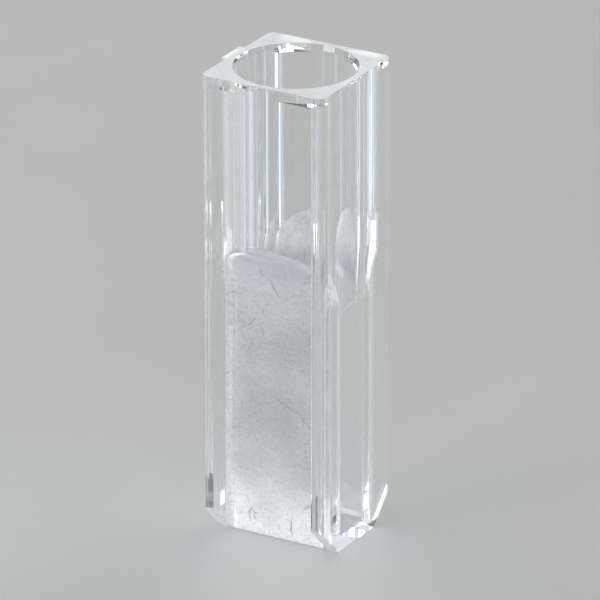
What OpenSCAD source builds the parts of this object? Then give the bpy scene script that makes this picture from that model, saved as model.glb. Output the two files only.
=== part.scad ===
// Semi-micro cuvette for a light path of 10 mm, moulded in one piece.
// It stands on its base at z = 0, with the origin at the middle of the base.
// The two clear windows face +X and -X. The faces towards +Y and -Y are open
// pockets below, and carry the round upper bore between the window plates above.

/* [Body] */
// Width across the two windows, along X
body_w = 12.5; // [12:0.1:16]
// Depth across the two pocket faces, along Y
body_d = 12.5; // [12:0.1:16]
// Full height from the base to the rim
body_h = 45; // [40:0.5:60]
// Radius on the four upright outer corners
corner_r = 0.7; // [0.3:0.05:0.9]

/* [Rim] */
// Thickness of the square flange round the mouth
rim_t = 1; // [0.6:0.1:2]
// Diameter of the upper bore
bore_d = 11; // [10.6:0.1:11.2]
// Wall of the tube round the upper bore
tube_wall = 0.95; // [0.7:0.05:1.2]
// Depth of the lead-in at the mouth
lead_h = 0.5; // [0.2:0.1:0.8]
// How much wider than the bore the lead-in is, on the radius
lead_w = 0.2; // [0.1:0.05:0.3]

/* [Gate tab] */
// Width of the broken-off gate on the rim
gate_w = 3.2; // [1:0.1:5]
// How far the gate stands out from the rim
gate_len = 0.5; // [0.1:0.1:1]
// Thickness of the gate
gate_t = 0.7; // [0.3:0.1:1]

/* [Chamber] */
// Light path between the inner faces of the windows
path_len = 10; // [9.5:0.1:10.5]
// Inner width of the lower chamber, along Y
chamber_w = 4.9; // [3:0.1:6]
// Radius in the upright corners of the chamber
chamber_r = 0.6; // [0.4:0.05:1]
// Thickness of the chamber floor
floor_t = 1.1; // [0.8:0.1:8]
// Height of the ledge where the bore steps in to the windows
ledge_z = 23.2; // [22:0.1:26]
// How much the bore narrows between the shoulders, on the radius at the ledge
throat_taper = 0.05; // [0.02:0.01:0.08]

/* [Pockets] */
// Thickness of the two window plates
plate_t = 1.15; // [0.8:0.05:1.3]
// Wall between the chamber and each pocket
web_wall = 0.9; // [0.7:0.05:1.2]
// Radius in the upright inner corners of the pockets
pocket_r = 0.8; // [0.3:0.05:1]
// Height at which the pocket wall starts to lean out
bend_z = 23.3; // [16:0.1:28]
// Radius of the bend from the upright wall to the shoulder
bend_r = 6.5; // [4:0.1:10]
// Lean of the shoulder away from upright at the end of the bend, in degrees
shoulder_lean = 50; // [40:1:52]
// Distance from the middle at which the open corners beside the tube begin
corner_y = 4.5; // [4.2:0.05:5]
// Size of the 45 degree cut at the foot of each window plate
foot_cut = 3; // [1:0.1:3.2]

/* [Hidden] */
clear_plastic = [0.86, 0.9, 0.92, 0.45];
over = 1;                                       // how far cutters run past the solid
bore_r = bore_d / 2;
tube_r = bore_r + tube_wall;
half_d = body_d / 2;
rim_z = body_h - rim_t;
web_y = chamber_w / 2 + web_wall;               // outer face of the wall beside the chamber
pocket_w = body_w - 2 * plate_t;                // clear width between the window plates
bend_y = web_y + bend_r;                        // the bend's axis lies outside the pocket
core_r = bend_r + web_wall;                     // the same bend on the chamber's side
reach = half_d + over - web_y;                  // how far the pocket cutter runs outwards
// where the bend ends and the straight shoulder starts, on the chamber's side
core_turn_y = bend_y - core_r * cos(shoulder_lean);
core_turn_z = bend_z + core_r * sin(shoulder_lean);
core_top_z = core_turn_z + (tube_r - core_turn_y) / tan(shoulder_lean);
// the bore is round all the way above this height, where it clears the shoulders
bore_full_z = bore_r < core_turn_y
    ? bend_z + sqrt(pow(core_r, 2) - pow(bend_y - bore_r, 2))
    : core_turn_z + (bore_r - core_turn_y) / tan(shoulder_lean);
shoulder_len = (tube_r + over - web_y) / sin(shoulder_lean);
$fn = 96;

// the whole moulding: an outer block less its pockets, bore, chamber and feet
module cuvette() {
    color(clear_plastic) difference() {
        union() {
            outer_block();
            gate_tab();
        }
        for (side = [0, 1]) mirror([0, side, 0]) {
            pocket();
            corner_recess();
            foot_chamfer();
        }
        upper_bore();
        chamber();
    }
}

// rectangle with round corners, centred on the origin
module round_rect(w, d, r) {
    square([w - 2 * r, d], center = true);
    square([w, d - 2 * r], center = true);
    for (sx = [-1, 1], sy = [-1, 1])
        translate([sx * (w / 2 - r), sy * (d / 2 - r)]) circle(r);
}

module outer_block() {
    linear_extrude(body_h) round_rect(body_w, body_d, corner_r);
}

// what is left of the injection gate, broken off at the rim over one window
module gate_tab() {
    translate([-body_w / 2 - gate_len, -gate_w / 2, body_h - gate_t])
        cube([gate_len + over, gate_w, gate_t]);
}

// plan of one pocket as a strip along X: x = 0 is the wall beside the chamber,
// and the strip runs outwards from it, with its two inner corners rounded
module pocket_plan() {
    translate([pocket_r, -pocket_w / 2]) square([reach - pocket_r, pocket_w]);
    translate([0, pocket_r - pocket_w / 2]) square([reach, pocket_w - 2 * pocket_r]);
    for (s = [-1, 1])
        translate([pocket_r, s * (pocket_w / 2 - pocket_r)]) circle(pocket_r);
}

// one pocket, open at the foot: upright, then bent outwards, then a straight shoulder
module pocket() {
    translate([0, web_y, -over]) linear_extrude(bend_z + over)
        rotate(90) pocket_plan();
    translate([0, bend_y, bend_z]) {
        bend();
        rotate([-shoulder_lean, 0, 0]) translate([0, -bend_r, 0])
            linear_extrude(shoulder_len) rotate(90) pocket_plan();
    }
}

// the bend turns the pocket's plan about an axis that lies along X
module bend() {
    rotate([90, 0, -90]) rotate_extrude(angle = shoulder_lean)
        translate([bend_r, 0]) mirror([1, 0]) pocket_plan();
}

// under the rim, the corners between the round tube and the flat plates stay open,
// as far in as corner_y, so that no corner runs to a knife edge
module corner_recess() {
    translate([0, 0, bend_z]) linear_extrude(rim_z - bend_z) difference() {
        translate([-pocket_w / 2, corner_y]) square([pocket_w, half_d + over - corner_y]);
        circle(tube_r);
    }
}

// the window plates are cut back at 45 degrees at their feet
module foot_chamfer() {
    rotate([90, 0, 90]) linear_extrude(body_w + 2 * over, center = true)
        polygon([[half_d - foot_cut - over, -over], [half_d + over, foot_cut + over], [half_d + over, -over]]);
}

// the round bore, narrowed by the two shoulders, with its lead-in at the mouth
module upper_bore() {
    intersection() {
        union() {
            translate([0, 0, ledge_z])
                cylinder(r1 = bore_r - throat_taper, r2 = bore_r, h = bore_full_z - ledge_z);
            translate([0, 0, bore_full_z]) cylinder(r = bore_r, h = body_h + over - bore_full_z);
        }
        rotate([90, 0, 90]) linear_extrude(body_w, center = true)
            for (side = [0, 1]) mirror([side, 0]) core_half();
    }
    translate([0, 0, body_h - lead_h])
        cylinder(r1 = bore_r, r2 = bore_r + lead_w * (lead_h + over) / lead_h, h = lead_h + over);
}

// half of the core's outline, seen along X, from the chamber up past the mouth
module core_half() {
    difference() {
        polygon([
            [-over, ledge_z - over], [chamber_w / 2, ledge_z - over],
            [chamber_w / 2, bend_z], [core_turn_y, core_turn_z],
            [tube_r, core_top_z], [tube_r, body_h + 2 * over], [-over, body_h + 2 * over]
        ]);
        translate([bend_y, bend_z]) circle(core_r, $fn = 360);
    }
}

// the narrow chamber between the windows, closed by the floor
module chamber() {
    translate([0, 0, floor_t]) linear_extrude(ledge_z + over - floor_t)
        round_rect(path_len, chamber_w, chamber_r);
}

cuvette();
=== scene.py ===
import math
import bpy
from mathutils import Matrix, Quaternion, Vector


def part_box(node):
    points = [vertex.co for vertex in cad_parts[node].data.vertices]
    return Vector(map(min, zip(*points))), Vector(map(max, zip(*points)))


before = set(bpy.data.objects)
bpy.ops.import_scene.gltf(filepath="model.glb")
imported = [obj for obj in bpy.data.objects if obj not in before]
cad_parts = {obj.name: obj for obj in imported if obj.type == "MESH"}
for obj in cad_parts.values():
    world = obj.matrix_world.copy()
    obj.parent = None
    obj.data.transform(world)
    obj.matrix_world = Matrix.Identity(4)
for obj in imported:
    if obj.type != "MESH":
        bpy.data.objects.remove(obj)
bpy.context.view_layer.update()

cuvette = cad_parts["cuvette"]
low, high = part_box("cuvette")
tall = high[2] - low[2]
print("frame loaded, the cell stands", round(tall * 1000, 1), "mm tall")


# a new material with an empty node tree, and the two lists needed to fill it
def newMaterial(name):
    material = bpy.data.materials.new(name)
    material.use_nodes = True
    material.node_tree.nodes.clear()
    return material, material.node_tree.nodes, material.node_tree.links


# one Math node, fed by sockets or plain numbers
def maths(tree, operation, *feeds, clamp=False):
    node = tree.nodes.new("ShaderNodeMath")
    node.operation = operation
    node.use_clamp = clamp
    for slot, feed in enumerate(feeds):
        if isinstance(feed, (int, float)):
            node.inputs[slot].default_value = feed
        else:
            tree.links.new(feed, node.inputs[slot])
    return node.outputs[0]


# several sockets or numbers multiplied together
def times(tree, first, *others):
    for other in others:
        first = maths(tree, "MULTIPLY", first, other)
    return first


# several sockets or numbers added together
def plus(tree, first, *others):
    for other in others:
        first = maths(tree, "ADD", first, other)
    return first


def oneLess(tree, feed):
    return maths(tree, "SUBTRACT", 1.0, feed, clamp=True)


# goes softly from toLow at start to toHigh at end, and start may be the greater
def ramp(tree, feed, start, end, toLow=0.0, toHigh=1.0):
    node = tree.nodes.new("ShaderNodeMapRange")
    node.interpolation_type = "SMOOTHSTEP"
    tree.links.new(feed, node.inputs["Value"])
    node.inputs["From Min"].default_value = start
    node.inputs["From Max"].default_value = end
    node.inputs["To Min"].default_value = toLow
    node.inputs["To Max"].default_value = toHigh
    return node.outputs["Result"]


def noiseNode(tree, coordinates, scale, detail=3.0, roughness=0.5, distortion=0.0):
    node = tree.nodes.new("ShaderNodeTexNoise")
    node.inputs["Scale"].default_value = scale
    node.inputs["Detail"].default_value = detail
    node.inputs["Roughness"].default_value = roughness
    node.inputs["Distortion"].default_value = distortion
    tree.links.new(coordinates, node.inputs["Vector"])
    return node


def noise(tree, coordinates, *settings):
    return noiseNode(tree, coordinates, *settings).outputs["Fac"]


# the clear plastic, with the matt grain that the mould leaves on the pocket walls
plastic = {
    "tint": (0.975, 0.985, 0.99, 1),
    "ior": 1.59,
    "absorb": (0.80, 0.90, 0.93, 1),  # long ways through the walls come out dimmer
    "absorbDensity": 12,
    "shadow": (0.86, 0.88, 0.89, 1),  # what one wall lets through to the floor
    "polish": 0.02,                   # roughness of the windows and the bore
    # roughness added on the grained places, and their share of white scatter
    "matt": {"walls": 0.40, "slopes": 0.30, "rim": 0.30, "foot": 0.45},
    # the foot's large share is partly the real ground frost of the underside and partly painted
    # glow, for light piped down into the base
    "milk": {"walls": 0.20, "slopes": 0.05, "rim": 0.30, "foot": 0.85},
    # noise size, detail, roughness and distortion
    "grain": (3600, 3, 0.6),
    "cloud": (1500, 5, 0.65, 0.3),
    "broad": (220, 2),
    "handling": (210, 4, 0.6),
    "handlingRough": 0.035,
    # how the scatter of a wall varies from place to place
    "cloudScatter": (0.75, 1.2),
    "broadScatter": (0.6, 1.35),
    # painted glow: the bottom of a wall and the base scatter much more white, standing in for light
    # coming up through the base
    "paintedFootGlow": 3.8,
    "paintedBaseGlow": 1.2,
    # painted highlight: the upright fillets scatter more white, a bright band down each corner
    "paintedFilletHighlight": 1.6,
    "cloudMatt": (0.85, 1.1),
    # what dims the light: 0 is the tint and 1 is the dark colour, which serves the grain, the
    # hairlines and the painted shade on the walls
    "dark": (0.30, 0.32, 0.33, 1),
    "mottle": 0.16,
    "speckle": 0.34,
    # painted shade over the middle of a wall, varied by the broad noise
    "middleShade": (0.42, 0.24),
    "slopeGrey": (0.35, 0.8),
    # height of the grain, and depth of the hairlines
    "grainHeight": 0.35,
    "crackDepth": 0.8,
    "bumpStrength": 0.5,
    "bumpDistance": 0.00006,
}

# where each part of the moulding lies, in metres from the middle of the base
zones = {
    "soft": 0.0001,                   # width of a zone's edge
    "plate": 0.0051,                  # the grain stops at the window plates
    "fillet": (0.0045, 0.0048),       # the upright inner corners of a pocket
    "pocketWall": (0.0032, 0.0042),   # the upright wall lies between these
    "slopeStart": (0.0235, 0.0240),
    "wallTop": (0.0300, 0.0303),
    "rimDepth": (0.0003, 0.0001),
    "footTop": (0.0034, 0.0036),
    "footGlow": (0.0015, 0.0085),     # painted glow: the walls scatter more white below here
    "baseTop": (0.0010, 0.0012),      # and most across the solid base
    "middleStart": (0.003, 0.011),    # painted shade darkens the middle of a wall, growing in between these heights
    # the painted shade eases off between these heights to its share at the top
    "middleEnd": (0.019, 0.026),
    "shadeAtTop": 0.55,
}

# which way a face turns before it counts: its normal's share outwards or upwards
turns = {
    "wallOut": (0.1, 0.35),
    "shoulderOut": (0.2, 0.4),
    "shoulderDown": (-0.2, -0.04),
    "slopeUp": (0.02, 0.2),
    "slopeIn": (-0.2, -0.4),
    "rimUp": (0.8, 0.95),
    "footDown": (-0.6, -0.5),
}


# how much each grained place and each stretch of the wall counts here, from 0 to 1
def grainedPlaces(tree, place):
    split = tree.nodes.new("ShaderNodeSeparateXYZ")
    tree.links.new(place, split.inputs[0])
    x, y, z = split.outputs
    farX, farY = maths(tree, "ABSOLUTE", x), maths(tree, "ABSOLUTE", y)
    facing = tree.nodes.new("ShaderNodeSeparateXYZ")
    geometry = tree.nodes.new("ShaderNodeNewGeometry")
    tree.links.new(geometry.outputs["Normal"], facing.inputs[0])
    upwards = facing.outputs[2]
    outwards = times(tree, facing.outputs[1], maths(tree, "SIGN", y))
    soft, (near, far) = zones["soft"], zones["pocketWall"]

    # a pocket: its upright wall with the fillets, then the leaning shoulder
    upright = times(tree, ramp(tree, outwards, *turns["wallOut"]),
                    ramp(tree, farY, near, near + soft), ramp(tree, farY, far, far + soft, 1, 0))
    leaning = times(tree, ramp(tree, outwards, *turns["shoulderOut"]),
                    ramp(tree, upwards, *turns["shoulderDown"], 1, 0))
    pocket = times(tree, maths(tree, "MAXIMUM", upright, leaning),
                   ramp(tree, farX, zones["plate"], zones["plate"] + soft, 1, 0))
    # the slopes that lead down from the bore into the chamber
    slope = times(tree, ramp(tree, upwards, *turns["slopeUp"]),
                  ramp(tree, z, *zones["slopeStart"]), ramp(tree, outwards, *turns["slopeIn"]))
    underBore = ramp(tree, z, *zones["wallTop"], 1, 0)
    rimLow, rimHigh = [tall - depth for depth in zones["rimDepth"]]
    fillet = ramp(tree, farX, *zones["fillet"])
    grains = {
        "walls": times(tree, pocket, underBore),
        "slopes": times(tree, slope, underBore),
        "rim": times(tree, ramp(tree, upwards, *turns["rimUp"]), ramp(tree, z, rimLow, rimHigh)),
        "foot": times(tree, ramp(tree, upwards, *turns["footDown"], 1, 0),
                      ramp(tree, z, *zones["footTop"], 1, 0)),
    }
    stretches = {
        "fillet": fillet,
        "glow": ramp(tree, z, *zones["footGlow"], 1, 0),
        "base": ramp(tree, z, *zones["baseTop"], 1, 0),
        "middle": times(tree, ramp(tree, z, *zones["middleStart"]),
                        ramp(tree, z, *zones["middleEnd"], 1, zones["shadeAtTop"]),
                        oneLess(tree, fillet)),
    }
    return grains, stretches


# few and broken dark lines, thin as a cut in the mould
cracks = {
    "size": 200,
    "width": 0.017,
    "bendSize": 1.7,           # size of the bends, as a share of the size
    "bend": 0.0022,            # how far the lines bend
    "breakSize": 1.3,          # size of the gaps, as a share of the size
    "breakAt": (0.52, 0.6),
    "dark": 0.7,
    "clear": 0.6,              # how much less the plastic scatters in them
}


def hairlines(tree, place, look):
    size, bend = look["size"], look["bend"]
    bent = noiseNode(tree, place, size * look["bendSize"], 4)
    warp = tree.nodes.new("ShaderNodeVectorMath")
    warp.operation = "MULTIPLY_ADD"
    warp.inputs[1].default_value = (bend, bend, bend)
    tree.links.new(bent.outputs["Color"], warp.inputs[0])
    tree.links.new(place, warp.inputs[2])
    cells = tree.nodes.new("ShaderNodeTexVoronoi")
    cells.feature = "DISTANCE_TO_EDGE"
    cells.inputs["Scale"].default_value = size
    tree.links.new(warp.outputs[0], cells.inputs["Vector"])
    line = ramp(tree, cells.outputs["Distance"], 0, look["width"], 1, 0)
    gaps = noise(tree, place, size * look["breakSize"])
    return times(tree, line, ramp(tree, gaps, *look["breakAt"]))


# lamps shine through the plastic onto the floor, and long ways through it dim the light
def letLightThrough(tree, shader, look):
    nodes, links = tree.nodes, tree.links
    out = nodes.new("ShaderNodeOutputMaterial")
    through = nodes.new("ShaderNodeBsdfTransparent")
    through.inputs["Color"].default_value = look["shadow"]
    lampOrEye = nodes.new("ShaderNodeMixShader")
    links.new(nodes.new("ShaderNodeLightPath").outputs["Is Shadow Ray"], lampOrEye.inputs[0])
    links.new(shader.outputs[0], lampOrEye.inputs[1])
    links.new(through.outputs[0], lampOrEye.inputs[2])
    links.new(lampOrEye.outputs[0], out.inputs["Surface"])
    inside = nodes.new("ShaderNodeVolumeAbsorption")
    inside.inputs["Color"].default_value = look["absorb"]
    inside.inputs["Density"].default_value = look["absorbDensity"]
    links.new(inside.outputs[0], out.inputs["Volume"])


def makePlastic(look):
    material, nodes, links = newMaterial("clear moulded plastic")
    tree = material.node_tree
    shader = nodes.new("ShaderNodeBsdfPrincipled")
    shader.inputs["IOR"].default_value = look["ior"]
    letLightThrough(tree, shader, look)

    place = nodes.new("ShaderNodeTexCoord").outputs["Object"]
    grains, stretches = grainedPlaces(tree, place)
    grain = noise(tree, place, *look["grain"])
    cloud = noise(tree, place, *look["cloud"])
    broad = noise(tree, place, *look["broad"])
    grained = maths(tree, "ADD", grains["walls"], grains["slopes"], clamp=True)
    lines = times(tree, hairlines(tree, place, cracks), grained)

    # uneven grain on the walls, broken by hairlines, with painted glow as far more white scatter
    # near the foot and across the base
    uneven = times(
        tree,
        ramp(tree, cloud, 0.35, 0.65, *look["cloudScatter"]),
        ramp(tree, broad, 0.35, 0.65, *look["broadScatter"]),
        plus(tree, ramp(tree, stretches["glow"], 0, 1, 1, look["paintedFootGlow"]),
             times(tree, stretches["base"], look["paintedBaseGlow"])),
        # painted highlight along the fillets
        plus(tree, 1.0, times(tree, stretches["fillet"], look["paintedFilletHighlight"])),
        oneLess(tree, times(tree, lines, cracks["clear"])))

    # the share of white scatter and the roughness, place by place
    milk = times(tree, grains["walls"], uneven, look["milk"]["walls"])
    matt = times(tree, grains["walls"], look["matt"]["walls"])
    for name in ("slopes", "rim", "foot"):
        milk = plus(tree, milk, times(tree, grains[name], look["milk"][name]))
        matt = plus(tree, matt, times(tree, grains[name], look["matt"][name]))
    links.new(oneLess(tree, milk), shader.inputs["Transmission Weight"])
    matt = times(tree, matt, ramp(tree, cloud, 0.3, 0.7, *look["cloudMatt"]))
    marks = noise(tree, place, *look["handling"])
    handled = ramp(tree, marks, 0.55, 0.75, 0, look["handlingRough"])
    links.new(plus(tree, handled, look["polish"], matt), shader.inputs["Roughness"])

    # the grain and the hairlines also dim what comes through, and painted shade darkens the middle
    # of each wall, less near the top and not at the foot or on the fillets
    paintedShade = times(tree, stretches["middle"], ramp(tree, broad, 0.3, 0.7, *look["middleShade"]))
    wallDim = plus(tree, ramp(tree, cloud, 0.35, 0.7, 0, look["mottle"]),
                   ramp(tree, grain, 0.42, 0.72, 0, look["speckle"]), paintedShade)
    slopeDim = ramp(tree, cloud, 0.35, 0.65, *look["slopeGrey"])
    dim = plus(tree, times(tree, wallDim, grains["walls"]), times(tree, slopeDim, grains["slopes"]))
    dim = maths(tree, "ADD", dim, times(tree, lines, cracks["dark"]), clamp=True)
    shade = nodes.new("ShaderNodeMix")
    shade.data_type = "RGBA"
    links.new(dim, shade.inputs[0])
    shade.inputs[6].default_value = look["tint"]
    shade.inputs[7].default_value = look["dark"]
    links.new(shade.outputs[2], shader.inputs["Base Color"])

    # the grain stands up a little and the hairlines are cut in
    height = maths(tree, "SUBTRACT", times(tree, grain, grained, look["grainHeight"]),
                   times(tree, lines, grained, look["crackDepth"]))
    bump = nodes.new("ShaderNodeBump")
    bump.inputs["Strength"].default_value = look["bumpStrength"]
    bump.inputs["Distance"].default_value = look["bumpDistance"]
    links.new(height, bump.inputs["Height"])
    links.new(bump.outputs[0], shader.inputs["Normal"])
    return material


cuvette.data.materials.clear()
cuvette.data.materials.append(makePlastic(plastic))

# the small radius that the mould leaves on every edge
mouldRadius = {"width": 0.00012, "segments": 2, "sharperThan": 30}

roundEdges = cuvette.modifiers.new("mould radius", "BEVEL")
roundEdges.width = mouldRadius["width"]
roundEdges.segments = mouldRadius["segments"]
roundEdges.limit_method = "ANGLE"
roundEdges.angle_limit = math.radians(mouldRadius["sharperThan"])
roundEdges.harden_normals = True
print("plastic made")


# the floor
floorLook = {
    "half": 1.5,
    "gap": 0.00005,            # keeps the floor clear of the underside
    "colour": (0.32, 0.32, 0.317, 1),
    "patchSize": 40,
    "roughness": (0.55, 0.65),
}


def makeFloor(look):
    reach, level = look["half"], -look["gap"]
    corners = [(-reach, -reach, level), (reach, -reach, level),
               (reach, reach, level), (-reach, reach, level)]
    mesh = bpy.data.meshes.new("floor")
    mesh.from_pydata(corners, [], [(0, 1, 2, 3)])
    floor = bpy.data.objects.new("floor", mesh)
    bpy.context.scene.collection.objects.link(floor)
    material, nodes, links = newMaterial("pale floor")
    tree = material.node_tree
    out = nodes.new("ShaderNodeOutputMaterial")
    shader = nodes.new("ShaderNodeBsdfPrincipled")
    shader.inputs["Base Color"].default_value = look["colour"]
    links.new(shader.outputs[0], out.inputs["Surface"])
    place = nodes.new("ShaderNodeTexCoord").outputs["Object"]
    patches = noise(tree, place, look["patchSize"])
    links.new(ramp(tree, patches, 0.3, 0.7, *look["roughness"]), shader.inputs["Roughness"])
    mesh.materials.append(material)


makeFloor(floorLook)
print("floor laid")


# lights
lamps = {
    "left box": {"place": (-0.60, 0.10, 0.30), "size": (0.5, 0.45), "power": 3.2},
    "back box": {"place": (0.25, 0.60, 0.35), "size": (0.35, 0.4), "power": 2.6},
    "top box": {"place": (-0.30, -0.22, 0.75), "size": (0.7, 0.7), "power": 3.0},
    "right top box": {"place": (0.38, -0.32, 0.66), "size": (0.5, 0.5), "power": 1.2},
    "far top box": {"place": (0.20, 0.35, 0.80), "size": (0.4, 0.4), "power": 1.5},
    "front fill": {"place": (-0.45, -0.65, 0.45), "size": (0.4, 0.4), "power": 2.6},
    "camera side": {"place": (0.62, -1.02, 0.52), "size": (0.9, 0.7), "power": 3.0},
    # a low strip close by, which draws the upright lines in the walls
    "left strip": {"place": (-0.046, -0.030, 0.020), "size": (0.018, 0.036), "power": 0.0042,
                   "colour": (0.58, 0.75, 1.0)},
}
roomLight = {"colour": (1, 1, 1, 1), "strength": 0.15}


def makeLamp(name, setup):
    data = bpy.data.lights.new(name, "AREA")
    data.shape = "RECTANGLE"
    data.size, data.size_y = setup["size"]
    data.energy = setup["power"]
    data.color = setup.get("colour", (1, 1, 1))
    lamp = bpy.data.objects.new(name, data)
    bpy.context.scene.collection.objects.link(lamp)
    lamp.location = setup["place"]
    aim = Vector((0, 0, tall / 2)) - lamp.location
    lamp.rotation_mode = "QUATERNION"
    lamp.rotation_quaternion = aim.to_track_quat("-Z", "Y")


for lampName, lampSetup in lamps.items():
    makeLamp(lampName, lampSetup)

room = bpy.data.worlds.new("room")
bpy.context.scene.world = room
room.use_nodes = True
roomBackground = room.node_tree.nodes["Background"]
roomBackground.inputs["Color"].default_value = roomLight["colour"]
roomBackground.inputs["Strength"].default_value = roomLight["strength"]

# light runs round inside the walls many times before it comes out
lightBounces = 48
tracing = bpy.context.scene.cycles
tracing.max_bounces = tracing.glossy_bounces = tracing.transmission_bounces = lightBounces
bpy.context.scene.view_settings.view_transform = "Standard"
print("lights hung")


# camera
cameraSetup = {
    "azimuth": 30.08,      # degrees round from the pocket face towards the clear window
    "elevation": 22.81,
    "roll": -0.095,
    "distance": 0.7203,
    "lens": 479.1,
    "sensor": 36,
    "clip": (0.01, 10),
    "shift": (0.0062, -0.0029),
}


def makeCamera(setup):
    data = bpy.data.cameras.new("camera")
    data.lens = setup["lens"]
    data.sensor_width = setup["sensor"]
    data.shift_x, data.shift_y = setup["shift"]
    data.clip_start, data.clip_end = setup["clip"]
    camera = bpy.data.objects.new("camera", data)
    bpy.context.scene.collection.objects.link(camera)
    around, up = math.radians(setup["azimuth"]), math.radians(setup["elevation"])
    away = Vector((math.sin(around) * math.cos(up), -math.cos(around) * math.cos(up), math.sin(up)))
    camera.location = Vector((0, 0, tall / 2)) + away * setup["distance"]
    camera.rotation_mode = "QUATERNION"
    roll = Quaternion((0, 0, 1), math.radians(setup["roll"]))
    camera.rotation_quaternion = (-away).to_track_quat("-Z", "Y") @ roll
    bpy.context.scene.camera = camera


makeCamera(cameraSetup)
print("camera set")

print("done")
